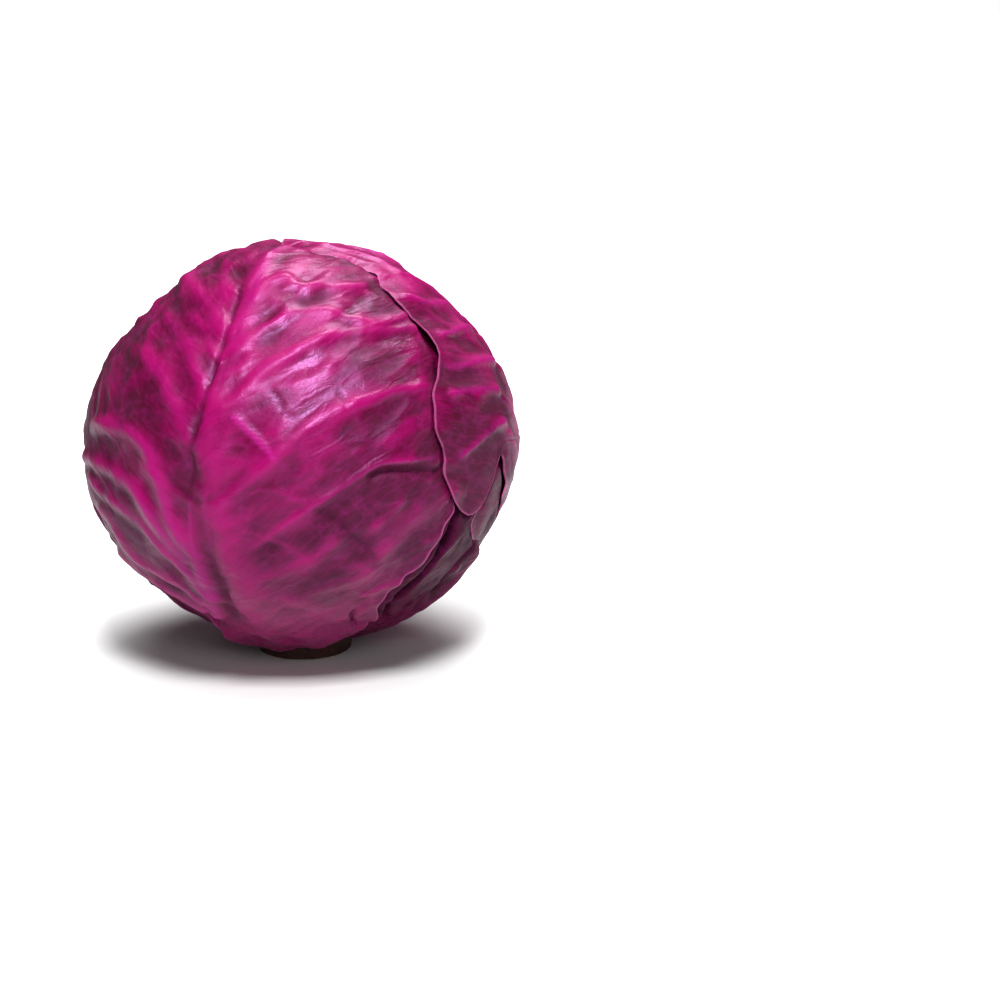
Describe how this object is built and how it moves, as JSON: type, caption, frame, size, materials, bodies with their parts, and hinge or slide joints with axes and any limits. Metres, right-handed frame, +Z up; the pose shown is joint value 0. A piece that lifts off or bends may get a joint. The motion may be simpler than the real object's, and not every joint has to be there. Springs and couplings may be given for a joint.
{
  "type": "red cabbage head",
  "caption": "Whole red cabbage head: broad veined outer leaves wrapped over a closed round heart, standing on the flat cut face of a short stem",
  "frame": {"origin": "the centre of the stem's flat cut face, which rests on the surface", "axes": "+Z up along the stem to the crown, -Y towards the side the front leaf covers, +X to the right as seen from that side"},
  "size_m": [0.1547, 0.1546, 0.1499],
  "materials": {
    "outer_leaf": "waxy semi-gloss leaf, magenta purple with pale pink veins and a grey bloom",
    "inner_leaf": "waxy semi-gloss leaf, deep purple",
    "heart": "waxy semi-gloss leaf, magenta purple",
    "stem": "dry cut stem, fibrous and dull"
  },
  "bodies": {
    "root": {"front_leaf": "outer_leaf", "right_leaf": "outer_leaf", "back_leaf": "outer_leaf", "rear_right_leaf": "outer_leaf", "left_leaf": "outer_leaf", "inner_front_leaf": "inner_leaf", "inner_right_leaf": "inner_leaf", "inner_back_leaf": "inner_leaf", "inner_left_leaf": "inner_leaf", "heart": "heart", "stem": "stem"}
  },
  "joints": []
}
